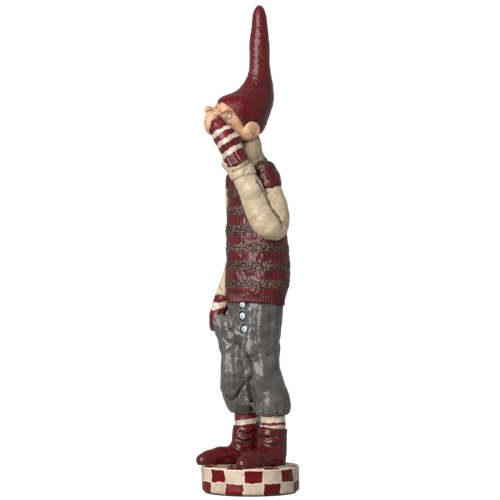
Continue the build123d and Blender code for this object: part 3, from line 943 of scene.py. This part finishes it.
def make_trousers():
    clay = Clay("trousers")
    # one mass between the legs, the right thigh in front of it, and the pocket
    limbs = (
        (((-1.0, -3.2, 30.0), (-1.4, -2.2, 44.0), (-1.0, -0.6, 60.0)), (5.6, 5.2, 4.6), 4.0),
        (((-8.6, -6.4, 25.0), (-9.4, -7.2, 42.0), (-10.4, -6.2, 53.0)), (6.8, 6.6, 5.2), 3.0),
        (((-11.6, -6.4, 15.0), (-12.0, -6.8, 25.0)), (5.0, 5.8), 5.0),
        (((2.6, -5.4, 22.0), (5.0, -4.2, 34.0), (6.0, -2.6, 46.0)), (4.6, 5.2, 5.2), 4.0),
    )
    for places, radii, soft in limbs:
        clay.add(below_waist(*places), radii, soft)
    warmer = middle("right_wrist_warmer")
    # room for the arm that hangs beside them
    clay.cut(warmer + ((1.7, -0.2, 8.9), (1.3, -3.3, 2.9), (0.9, -6.7, -3.6)), [4.6, 4.0, 2.6], 1.0)
    side = below_waist((-26.1, -12.0, 8.0), (-26.1, -12.0, 19.0), (-25.2, -11.5, 27.0))
    clay.cut(side, [4.4, 6.6, 7.4], 2.0)
    # the fly, the crotch and the crease between the legs
    crease = clay.seen(*below_waist(
        (-2.8, 19.0), (-2.9, 23.5), (-4.0, 28.0), (-2.2, 31.5), (-1.0, 36.0),
        (-0.5, 42.0), (-0.2, 46.0), (-3.2, 49.0), (-6.0, 53.0), (-8.8, 58.5),
    ))
    clay.press(crease[:3], 0.7, 1.9)
    clay.press(crease[2:7], 1.9, 1.6)
    clay.press(crease[2:7], 0.7, 1.9)
    clay.press(crease[6:], 0.7, 2.0)
    press_below_waist(
        clay,
        ((-0.4, 46.0), (-1.2, 53.0), (0.6, 60.0), (0.8, 67.0), 1.1, 1.5),
        ((-8.6, 25.0), (-5.6, 28.5), (-3.8, 29.5), 0.8, 0.6),
        ((-9.6, 21.0), (-6.2, 25.4), (-3.4, 26.4), 0.7, 0.3),
        ((-8.8, 58.5), (-11.4, 60.0), (-14.6, 57.5), 1.2, 0.8),
        ((-14.0, 31.0), (-12.6, 44.0), (-12.8, 54.0), 1.3, 0.45),
        ((-10.2, 33.0), (-9.4, 45.0), (-9.8, 53.0), 1.2, 0.45),
    )
    for spot in below_waist((-7.4, 20.0), (-0.6, 29.5)):
        clay.add([clay.seen(spot)[0] + 3.4 * AHEAD], [4.4], 4.0)
    # vertical folds
    folds = (
        ((13.0, -6.4, 3.0), (12.6, -6.8, 13.0), (12.2, -6.6, 24.0), 1.7, -0.9),
        ((9.0, -8.0, 4.0), (8.8, -8.4, 14.0), (9.2, -7.6, 22.0), 1.6, 0.6),
        ((17.0, -2.0, 3.0), (16.6, -2.4, 18.0), (15.4, -2.0, 32.0), 1.8, 0.6),
        ((12.4, -5.4, 30.0), (13.4, -4.6, 42.0), (14.2, -2.4, 56.0), 1.7, -0.7),
        ((17.6, 6.0, 8.0), (17.0, 6.4, 30.0), (17.8, 7.4, 50.0), 1.8, 0.55),
        ((6.0, -7.2, 34.0), (6.6, -6.6, 46.0), (7.2, -4.4, 58.0), 1.5, 0.5),
        ((-4.0, 15.0, 8.0), (-5.0, 14.4, 20.0), (-6.0, 11.0, 34.0), 1.7, 0.6),
        ((5.0, 16.4, 6.0), (5.6, 15.4, 20.0), (6.4, 12.4, 36.0), 1.7, -0.6),
        ((0.0, 14.0, 26.0), (0.0, 10.0, 32.0), (0.2, 8.6, 44.0), 1.4, 1.3),
    )
    for *places, width, depth in folds:
        clay.press(below_waist(*places), width, depth)
    # gathers above each hem
    gathers = 9
    for sock in ("left_sock", "right_sock"):
        centre = middle(sock)
        for k in range(gathers):
            shift = 0.3 * noise(np.array((k * 9.7, 3.3, 1.1)), 3.0)
            angle = 2 * math.pi * (k + shift) / gathers
            way = np.array((math.cos(angle), math.sin(angle), 0.0))
            foot = np.array((centre[0], centre[1] - 1.0, HEM + 1.6)) + 10.2 * way
            clay.press([foot, foot + 1.6 * way + (0, 0, 6.0)], 1.1, 0.75)
    # the hand's shape under the pocket, and pulls that run from it to the fly
    press_below_waist(
        clay,
        ((-17.6, 5.0), (-18.4, 13.0), (-16.6, 21.0), (-13.0, 26.0), 1.0, 0.4),
        ((-14.6, 6.0), (-15.0, 14.0), (-13.0, 22.0), 1.4, -0.3),
        ((-11.6, 8.0), (-11.8, 16.0), (-9.6, 22.0), 1.3, 0.3),
        ((-17.8, 27.0), (-13.0, 25.0), (-8.0, 22.6), 1.2, 0.3),
    )
    # seats for the buttons
    for spot in BUTTONS:
        clay.press([middle(f"trouser_button_{spot}") + (1.2, -0.6, 0)], 2.2, 0.6)
    clay.unevenness(0.55, 8.0, 41)
    clay.unevenness(0.12, 2.8, 43)
    skin = Skin(clay)
    skin.grain(0.07, 1.3, 45)
    skin.build("trousers_casting", GREY_PAINT)


def make_buttons():
    for index, spot in enumerate(BUTTONS):
        node = f"trouser_button_{spot}"
        centre = middle(node)
        clay = Clay(node, cell=0.16, room=14)
        clay.add([centre + (-0.5, -0.5, 0.1), centre + (0.6, -0.5, -0.3)], [1.5, 1.4], 0.6)
        clay.press([centre + (0, -2.0, 0)], 0.5, 0.5)
        clay.unevenness(0.12, 1.5, 51 + index)
        skin = Skin(clay)
        skin.marks["out"] = np.hypot(skin.points[:, 0] - centre[0], skin.points[:, 2] - centre[2])
        skin.points = skin.points + (1.2, 0.0, 0.0)
        skin.build(f"{spot}_button", BUTTON_PAINT, centre, 8.0)


def round_axis(points, origin, axis, hint):
    """Each point's distance along an axis, and its angle round it."""
    side = unit(np.cross(axis, hint))
    other = np.cross(axis, side)
    offset = points - origin
    return offset @ axis, np.arctan2(offset @ other, offset @ side)


def knit(skin, axis_point, axis, radius, bands, hem=None):
    """Raises vertical stitches, and rows of bobbles in the bands, round an axis."""

    def fitted_pitch(wanted):
        """The pitch nearest to a wanted one that fits round the axis a whole number of times."""
        return 2 * math.pi * radius / round(2 * math.pi * radius / wanted)

    along, angle = round_axis(skin.points, axis_point, unit(np.asarray(axis, float)), (0.3, 1.0, 0.1))
    across = angle * radius
    band = np.zeros(len(skin.points), np.float32)
    for centre, half in bands:
        wave = 0.5 * noise(skin.points, 9.0, 61) + 0.25 * noise(skin.points, 2.4, 62)
        band = np.maximum(band, 1.0 - smooth_step(np.abs(along - centre + wave), half - 0.5, half + 0.7))
    pitch = fitted_pitch(1.75)
    bumps = bobbles(across, along, pitch, 1.55, seed=3, jitter=0.7, round_to=0.60)
    bumps = bumps * (0.75 + 0.35 * noise(skin.points, 2.6, 63))
    wale_pitch = fitted_pitch(2.7)
    wales = bobbles(across, along, wale_pitch, 5.2, seed=9, jitter=0.6, round_to=0.62)
    fine = bobbles(across, along, pitch * 0.9, 1.6, seed=5, jitter=0.6)
    plain = 0.78 * wales + 0.22 * fine
    if hem is not None:
        ribs = 0.5 + 0.5 * np.cos(2 * math.pi * across / pitch)
        in_hem = 1.0 - smooth_step(along, hem - 1.0, hem + 1.0)
        plain = plain * (1 - in_hem) + ribs * in_hem
        band = band * (1 - in_hem)
    height = band * (0.75 * bumps + 0.12) + (1 - band) * 0.45 * plain
    skin.raise_by(height)
    skin.marks["band"] = band
    skin.marks["knit"] = band * bumps + (1 - band) * plain


def make_sweater():
    lo = low("sweater")
    clay = Clay("sweater")
    # folds pulled down from the raised arm and round the belly
    folds = (
        ((17.0, -7.0, lo[2] + 46), (10.0, -12.4, lo[2] + 36), (2.0, -12.0, lo[2] + 29), 2.6, 0.7),
        ((20.0, 0.0, lo[2] + 36), (18.0, -7.0, lo[2] + 25), (12.0, -11.0, lo[2] + 18), 2.6, 0.6),
        ((-17.0, -2.0, lo[2] + 60), (-15.0, -7.0, lo[2] + 48), (-10.0, -10.0, lo[2] + 38), 2.6, 0.5),
        ((15.0, 14.0, lo[2] + 56), (19.0, 9.0, lo[2] + 40), (20.6, 6.0, lo[2] + 22), 2.4, 0.5),
        ((-8.0, 19.0, lo[2] + 54), (-10.0, 20.0, lo[2] + 34), (-9.0, 20.6, lo[2] + 14), 2.6, 0.5),
        ((8.0, 18.0, lo[2] + 48), (9.0, 20.0, lo[2] + 28), (8.0, 20.4, lo[2] + 10), 2.6, 0.45),
    )
    clay.press_all(folds)
    clay.unevenness(0.5, 9.0, 71)
    clay.unevenness(0.12, 2.4, 73)
    clay.swell(0.2)
    skin = Skin(clay, 2)
    bands = tuple((10.6 + 11.15 * k, 2.6) for k in range(7))
    knit(skin, np.array((0.9, 5.0, lo[2])), (0, 0, 1), 17.6, bands, hem=5.0)
    # the hem hangs lower, and turns in, on the left side
    to_side = np.clip(skin.points @ SIDEWAYS, 0.0, 22.0)
    near_hem = 1.0 - smooth_step(skin.points[:, 2], lo[2] + 1.0, lo[2] + 9.0)
    skin.points = skin.points - np.outer(near_hem * to_side, 0.055 * SIDEWAYS + 0.09 * UP)
    skin.build("sweater_casting", KNIT_PAINT)


def make_cap_sleeve(side):
    node = f"{side}_cap_sleeve"
    way = 1 if side == "left" else -1
    centre = middle(node)
    clay = Clay(node, cell=0.34, room=14)
    top = centre + (-1.5 * way, 0.0, 2.0)
    if side == "left":
        clay.add([centre + (-2.0, -4.0, 2.3), centre + (1.1, -3.6, -5.0)], [7.0, 7.3], 2.0)
    clay.unevenness(0.4, 6.0, 81)
    clay.stay_above(low(node)[2] + (1.0 if side == "left" else -1.0))
    skin = Skin(clay, 2)
    knit(skin, top, (0.35 * way, 0.1, -1.0), 7.6, ((-4.2, 2.0),))
    skin.build(f"{side}_shoulder", KNIT_PAINT)


def make_left_sleeve():
    lo, hi = low("left_sleeve"), high("left_sleeve")
    clay = Clay("left_sleeve", cell=0.38)
    elbow = np.array((hi[0] - 5.0, middle("left_sleeve")[1] + 3.0, lo[2] + 7.5))
    cuff = middle("left_sleeve_cuff")
    # the forearm spreads against the upper arm, with a deep fold between them
    clay.add(elbow + ((-7.4, -2.6, 15.0), (-4.4, 0.9, 7.1), (-3.2, 2.6, 2.6)), [6.3, 6.4, 6.4], 4.0)
    forearm = elbow + ((-13.4, -7.5, 26.2), (-11.2, -5.8, 16.7), (-6.9, -3.2, 4.6), (-3.3, -0.9, 0.9))
    clay.add(forearm, [6.4, 7.2, 7.2, 6.4], 3.0)
    cuff_axis = unit(middle("left_hand") - cuff)
    clay.add([cuff - 9.0 * cuff_axis, cuff], [6.2, 6.0], 3.0)

    def seen_by_elbow(*places):
        """Surface points seen at distances sideways and above the elbow."""
        return clay.seen(*((sideways, elbow[2] + up) for sideways, up in places))

    fold = seen_by_elbow((4.8, 28.0), (8.4, 22.0), (12.6, 13.0), (17.4, 6.5), (19.8, 1.6))
    clay.press(fold, 1.3, 1.2)
    clay.press(fold, 0.6, 0.8)
    clay.press(seen_by_elbow((17.0, 4.6), (20.6, 3.6)), 0.6, 0.8)
    clay.press(seen_by_elbow((17.6, 2.6), (20.0, -0.4)), 0.6, 0.6)
    stains = seen_by_elbow((19.0, 2.0), (6.8, -3.2), (10.0, -5.6), (1.8, 6.0))
    clay.unevenness(0.34, 8.0, 91)
    clay.unevenness(0.07, 2.4, 93)
    skin = Skin(clay)
    skin.grain(0.13, 1.8, 95)
    skin.mark_near("stain", stains, 3.0)
    skin.build("raised_sleeve", CLOTH_PAINT, cuff, 12.0)


def make_cuff():
    node = "left_sleeve_cuff"
    centre = middle(node)
    axis = unit(middle("left_hand") - centre)
    clay = Clay(node, cell=0.36, room=14)
    end = centre + 10.5 * axis
    clay.add([centre + 1.0 * axis, centre + 5.0 * axis, end], [5.4, 7.4, 8.1], 1.0)
    clay.trim(centre - 1.6 * axis - 2.0 * SIDEWAYS, axis + 0.25 * SIDEWAYS)
    clay.cut([end + 2.5 * axis, end + 12.0 * axis], [7.4, 8.4], 0.8)
    clay.trim(centre + 14.0 * axis, 0.25 * AHEAD - axis)
    dip = centre + 12.6 * axis - 8.0 * AHEAD
    clay.cut([dip - 4.0 * AHEAD, dip + 4.0 * AHEAD], [5.0, 5.0], 1.2)
    clay.press_seen(
        ((-6.4, centre[2] - 2.4), (-3.6, centre[2] + 1.4), (-1.6, centre[2] + 4.6), 0.9, 0.6),
        ((-2.6, centre[2] - 3.0), (-0.6, centre[2] + 1.0), 0.8, 0.5),
    )
    clay.unevenness(0.45, 5.0, 101)
    Skin(clay).build("folded_cuff", CLOTH_PAINT, end, 16.0)


def make_left_warmer():
    node = "left_wrist_warmer"
    cuff = middle("left_sleeve_cuff")
    axis = unit(middle("left_hand") - cuff)
    clay = Clay(node, cell=0.34, room=10)
    top = high(node)[2]
    near_top = middle(node) + 9.0 * axis
    clay.add([near_top, near_top + 1.6 * SIDEWAYS - 5.0 * axis], [5.6, 7.0], 2.0)
    clay.trim(clay.seen((-18.9, top + 0.8))[0], -0.69 * SIDEWAYS - 0.72 * UP)
    clay.trim(clay.seen((-21.6, top + 0.8))[0], 0.97 * SIDEWAYS - 0.22 * UP)
    clay.unevenness(0.35, 5.0, 111)
    skin = Skin(clay)
    along, angle = round_axis(skin.points, cuff, axis, UP)
    ribs = 0.5 + 0.5 * np.cos(22 * angle)
    lower_end = 1.0 - smooth_step(along, 13.0, 15.0)
    skin.raise_by(lower_end * 0.4 * ribs - 0.1)
    skin.marks["along"] = along
    paint = striped_paint("left_warmer_stripes", ((14.6, 17.3), (21.4, 24.2), (28.0, 30.8)), 0.45)
    skin.build("left_warmer", paint)


def make_left_hand():
    node = "left_hand"
    centre = middle(node)
    clay = Clay(node, cell=0.26, room=16)
    # four fingers curled side by side, and the thumb towards the nose
    for k in range(4):
        spread = -1.6 + 1.15 * k
        root = centre + spread * TO_LEFT + 0.6 * FORWARD - 2.6 * UP
        tip = centre + (0.7 * spread) * TO_LEFT + 1.8 * FORWARD + (4.2 - 0.5 * abs(k - 1.2)) * UP
        clay.add([root, 0.5 * (root + tip) + 1.3 * FORWARD, tip], [1.7, 1.6, 1.3], 0.7)
    clay.add([centre - 2.0 * FORWARD - 1.0 * UP, centre - 0.5 * FORWARD + 5.6 * UP], [1.6, 1.3], 0.8)
    clay.add(centre + ((0.4, 0.2, 4.0), (2.4, 1.9, 5.6), (3.4, 3.4, 5.6)), [1.8, 1.7, 1.4], 0.8)
    clay.press_seen(
        ((-25.4, centre[2] + 5.4), (-25.8, centre[2] - 3.4), 0.4, 0.35),
        ((-23.6, centre[2] + 6.4), (-23.9, centre[2] - 4.4), 0.4, 0.35),
    )
    clay.unevenness(0.2, 2.5, 121)
    Skin(clay).build("cupped_hand", FLESH_PAINT)


def make_right_sleeve():
    node = "right_sleeve"
    lo, hi = low(node), high(node)
    clay = Clay(node, cell=0.38)
    elbow = np.array((lo[0] + 5.0, hi[1] - 5.0, 0.45 * lo[2] + 0.55 * hi[2] - 8.0))
    for dy, dz in ((-5.0, 2.0), (-5.5, -2.5), (-3.5, 6.0)):
        clay.press([elbow + (-5.0, dy, dz), elbow + (1.0, dy - 1.5, dz - 1.0)], 0.9, 0.7)
    clay.press([(lo[0] + 2.0, 0.0, lo[2] + 12.0), (lo[0] + 7.0, -3.0, lo[2] + 9.0)], 0.9, 0.5)
    clay.unevenness(0.4, 7.0, 131)
    clay.unevenness(0.14, 2.4, 133)
    Skin(clay).build("hanging_sleeve", CLOTH_PAINT)


def make_right_warmer():
    node = "right_wrist_warmer"
    clay = Clay(node, cell=0.34)
    clay.unevenness(0.3, 4.0, 141)
    clay.swell(0.15)
    skin = Skin(clay)
    skin.marks["along"] = high(node)[2] - skin.points[:, 2] + 0.35 * (skin.points[:, 1] - middle(node)[1])
    paint = striped_paint("right_warmer_stripes", ((3.6, 7.0),), 0.6)
    skin.build("right_warmer", paint)


def make_collar():
    node = "collar"
    centre = middle(node)
    clay = Clay(node, cell=0.38)
    gathers = 11
    for k in range(gathers):
        angle = 2 * math.pi * k / gathers + 0.25 * math.sin(3.0 * k)
        way = np.array((math.cos(angle), math.sin(angle), 0.0))
        foot = centre + 13.4 * way + (0, 0, -6.0)
        clay.press([foot, centre + 11.2 * way + (0, 0, 6.0)], 1.5, 0.30 + 0.2 * math.sin(5.0 * k))
    ring = [centre + (13.2 * math.cos(a), 12.4 * math.sin(a), 5.0 * math.sin(a) - 1.5)
            for a in np.linspace(0, 2 * math.pi, 17)]
    clay.press(ring, 1.4, 0.4)
    for sideways, upper, lower in ((0.6, 5.0, -4.6), (3.6, 4.6, -3.0), (6.6, 2.4, -4.4), (-2.4, 7.0, -1.0)):
        clay.press_seen(((sideways, centre[2] + upper), (sideways + 0.9, centre[2] + lower), 1.4, 0.3))
    # the roll closes round the back of the neck
    nape = [centre + (10.2 * math.cos(a) - 1.0, 10.6 * math.sin(a) + 0.6, -2.4 + 1.6 * math.sin(a))
            for a in np.linspace(0.7, 2.8, 9)]
    clay.add(nape, [2.7] * len(nape), 3.0)
    clay.unevenness(0.5, 6.0, 151)
    skin = Skin(clay)
    skin.grain(0.06, 1.6, 153)
    skin.build("roll_collar", COLLAR_PAINT)


def make_head():
    clay = Clay("head", cell=0.32, room=10)
    sideways, height = float(HEAD_CENTRE @ SIDEWAYS), HEAD_CENTRE[2]
    clay.add([on_head(11.4, -3.0, 3.4), on_head(11.4, 3.0, 3.4)], [6.3, 6.3], 4.0)

    def face(*places):
        """Points seen on the face, by distances sideways and above the head's centre."""
        return clay.seen(*((sideways + a, height + b) for a, b in places))

    def mirrored(points):
        """The same points on the other side of the face."""
        return [point - 2.0 * ((point - HEAD_CENTRE) @ TO_LEFT) * TO_LEFT for point in points]

    eye_place = face((-8.3, 0.6))[0]
    upper_lid = face((-11.9, 1.4), (-10.2, 2.5), (-8.7, 2.9), (-7.0, 2.2), (-6.3, 0.5))
    lower_lid = face((-11.9, 1.4), (-10.4, -0.6), (-8.6, -1.8), (-6.9, -1.4), (-6.3, 0.5))
    brow = face((-12.6, 3.2), (-9.8, 4.6), (-6.6, 4.0))
    bag = face((-11.2, -1.2), (-9.0, -3.1), (-6.4, -2.6))
    cheek = face((-9.9, -2.4), (-8.1, -4.7), (-4.0, -7.0))
    nose_side = face((-16.4, 5.3), (-15.0, 3.8), (-12.6, 2.0))
    crows_feet = (((-5.4, 2.2), (-3.4, 3.4)), ((-5.2, 0.4), (-3.0, 0.4)), ((-5.4, -1.2), (-3.4, -2.4)))
    ear_front = face((0.1, -3.8), (-0.8, -8.0), (0.4, -11.0))
    lines = (
        ([eye_place], 1.9, 0.5), (upper_lid, 0.5, 0.7), (lower_lid, 0.5, 0.45), (brow, 1.0, -0.5),
        (bag, 0.45, 0.25), (cheek, 0.8, 0.4), (nose_side, 0.6, 0.5), (ear_front, 0.8, 0.3),
        *((face(*line), 0.4, 0.25) for line in crows_feet),
    )
    for side in (list, mirrored):
        for line, width, depth in lines:
            clay.press(side(line), width, depth)
    for side, way in (("left", 1), ("right", -1)):
        ear = middle(f"{side}_ear") - 2.6 * UP
        jaw = ear + 7.7 * FORWARD - 3.7 * way * TO_LEFT
        clay.add([jaw, ear + 1.5 * FORWARD - 2.0 * way * TO_LEFT], [4.4, 4.4], 2.5)
        clay.add([on_head(11.0, 6.0 * way, -6.4)], [3.9], 3.0)
    # the neck is slimmer inside the roll of the collar
    neck = middle("collar") + (0.8, 4.0, 0.0)
    for height in (-2.5, 0.0, 2.6):
        ring = [neck + (11.0 * math.cos(a), 11.0 * math.sin(a), height) for a in np.linspace(0.1, 3.0, 12)]
        clay.cut(ring, [3.3] * len(ring), 0.8)
    # mouth, open in a call
    clay.press([on_head(17.5, -2.4, -6.2), on_head(18.6, 0.0, -6.6), on_head(17.5, 2.4, -6.2)], 0.9, 1.3)
    clay.press([on_head(17.5, -2.2, -8.4), on_head(18.3, 0.0, -8.8), on_head(17.5, 2.2, -8.4)], 0.8, -0.8)
    # forehead lines
    for up in (6.6, 8.6):
        line = [on_head(15.2 - 0.07 * left * left, left, up) for left in (-6, -3, 0, 3, 6)]
        clay.press(line, 0.6, 0.35)
    clay.unevenness(0.25, 4.0, 161)
    skin = Skin(clay)
    skin.grain(0.05, 1.2, 163)
    blush = face((-6.0, -3.6), (-3.6, -5.6), (-1.6, -7.0))
    skin.mark_near("stain", [*blush, *mirrored(blush)], 4.5)
    lids = [*upper_lid, *lower_lid]
    skin.mark_near("ochre", [*lids, *mirrored(lids)], 1.7)
    skin.build("head_casting", FLESH_PAINT)


def make_nose():
    clay = Clay("nose", cell=0.24, room=12)
    clay.add([on_head(22.6, 0, 5.3)], [2.25], 0.8)
    clay.add([on_head(15.0, 0, 3.2), on_head(20.4, 0, 4.7)], [3.0, 1.7], 1.4)
    clay.unevenness(0.18, 2.4, 171)
    skin = Skin(clay)
    skin.points = skin.points - 0.8 * UP
    skin.build("knob_nose", FLESH_PAINT)


def make_ear(side, way):
    node = f"{side}_ear"
    centre = middle(node)
    clay = Clay(node, cell=0.26, room=12)
    middle_of_rim = centre + 1.3 * way * TO_LEFT
    clay.press([centre + 2.2 * way * TO_LEFT + 0.6 * FORWARD], 2.6, 0.6)
    rim = [middle_of_rim - 4.7 * math.cos(turn) * FORWARD + 4.7 * math.sin(turn) * UP
           for turn in np.linspace(-1.5, 2.3, 12)]
    clay.press(rim, 1.0, -0.7)
    inner = [middle_of_rim - 2.6 * math.cos(turn) * FORWARD + 2.9 * math.sin(turn) * UP
             for turn in np.linspace(-0.9, 1.6, 7)]
    clay.press(inner, 0.5, 0.3)
    root = centre + 2.6 * FORWARD - 1.0 * UP - 0.6 * way * TO_LEFT
    clay.add([root, centre + 5.6 * FORWARD - 0.6 * UP - 2.2 * way * TO_LEFT], [3.0, 2.4], 2.0)
    clay.unevenness(0.15, 2.2, 181)
    skin = Skin(clay)
    skin.points = skin.points - 1.1 * UP
    skin.build(f"{side}_ear_casting", FLESH_PAINT)


def make_eye(side, way):
    node = f"{side}_eye"
    skin = Skin(Clay(node, cell=0.1, band=8), 2)
    skin.points = skin.points - 0.6 * UP
    centre = middle(node) - 0.6 * UP
    look = 0.72 * way * TO_LEFT + 0.55 * FORWARD + 0.22 * UP
    pupil = centre + 1.3 * look / np.linalg.norm(look)
    skin.marks["off_pupil"] = np.linalg.norm(skin.points - pupil, axis=1)
    skin.build(f"{side}_eye_bead", EYE_PAINT)


def make_hat():
    clay = Clay("hat", cell=0.36)
    brim = low("hat")[2]
    # long soft hollows down the column, each given by an angle, its two heights and its depth
    column = np.array((3.0, 5.3))
    hollows = (
        (0.3, 24, 60, 0.5), (1.6, 30, 66, 0.55), (2.9, 26, 58, 0.5), (4.2, 34, 70, 0.6), (5.3, 22, 52, 0.45),
    )
    for angle, start, end, depth in hollows:
        path = []
        for step in np.linspace(0, 1, 6):
            height = brim + start + step * (end - start)
            reach = 6.9 - 0.045 * max(height - brim - 40, 0)
            turn = angle + 0.25 * math.sin(4 * step + angle)
            path.append((column[0] + reach * math.cos(turn), column[1] + reach * math.sin(turn), height))
        clay.press(path, 2.4, 0.6 * depth)
    clay.add([on_head(-1.0, 0, 3.0), on_head(-2.5, 0, 8.0)], [12.0, 9.0], 1.0)
    forehead = [on_head(13.0, -5.0, 3.0), on_head(13.0, 1.0, 3.0), on_head(11.4, 5.4, 2.6)]
    clay.cut(forehead, [6.0, 6.0, 5.5], 0.8)
    # folds where the column leaves the crown
    folds = (
        (on_head(6.0, 6.0, 14.0), on_head(-2.0, 9.5, 15.0), on_head(-12.0, 9.0, 20.0), 2.4, 0.8),
        (on_head(2.0, 12.0, 6.0), on_head(-6.0, 13.0, 10.0), on_head(-14.0, 9.0, 24.0), 2.2, 0.6),
        (on_head(6.0, -6.0, 14.0), on_head(-2.0, -9.5, 15.0), on_head(-12.0, -9.0, 20.0), 2.4, 0.7),
    )
    clay.press_all(folds)
    clay.unevenness(0.25, 9.0, 191)
    skin = Skin(clay)
    skin.grain(0.15, 1.5, 193)
    dull = clay.seen((-9.5, brim + 20.0), (-8.1, brim + 16.0), (-6.5, brim + 12.0))
    skin.mark_near("dull", dull, 6.0)
    skin.build("pointed_hat", HAT_PAINT)


make_base()
for side in ("left", "right"):
    make_boot(side)
    make_sock(side)
    make_cap_sleeve(side)
make_trousers()
make_buttons()
make_sweater()
make_left_sleeve()
make_cuff()
make_left_warmer()
make_left_hand()
make_right_sleeve()
make_right_warmer()
make_collar()
make_head()
make_nose()
for side, way in (("left", 1), ("right", -1)):
    make_ear(side, way)
    make_eye(side, way)
make_hat()

# CAD nodes that stay as they are: the felt pad and the steel inside
for node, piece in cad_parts.items():
    if node not in SHOWN:
        piece.data.materials.clear()
        piece.data.materials.append(FELT_PAINT if node == "felt_pad" else STEEL_PAINT)
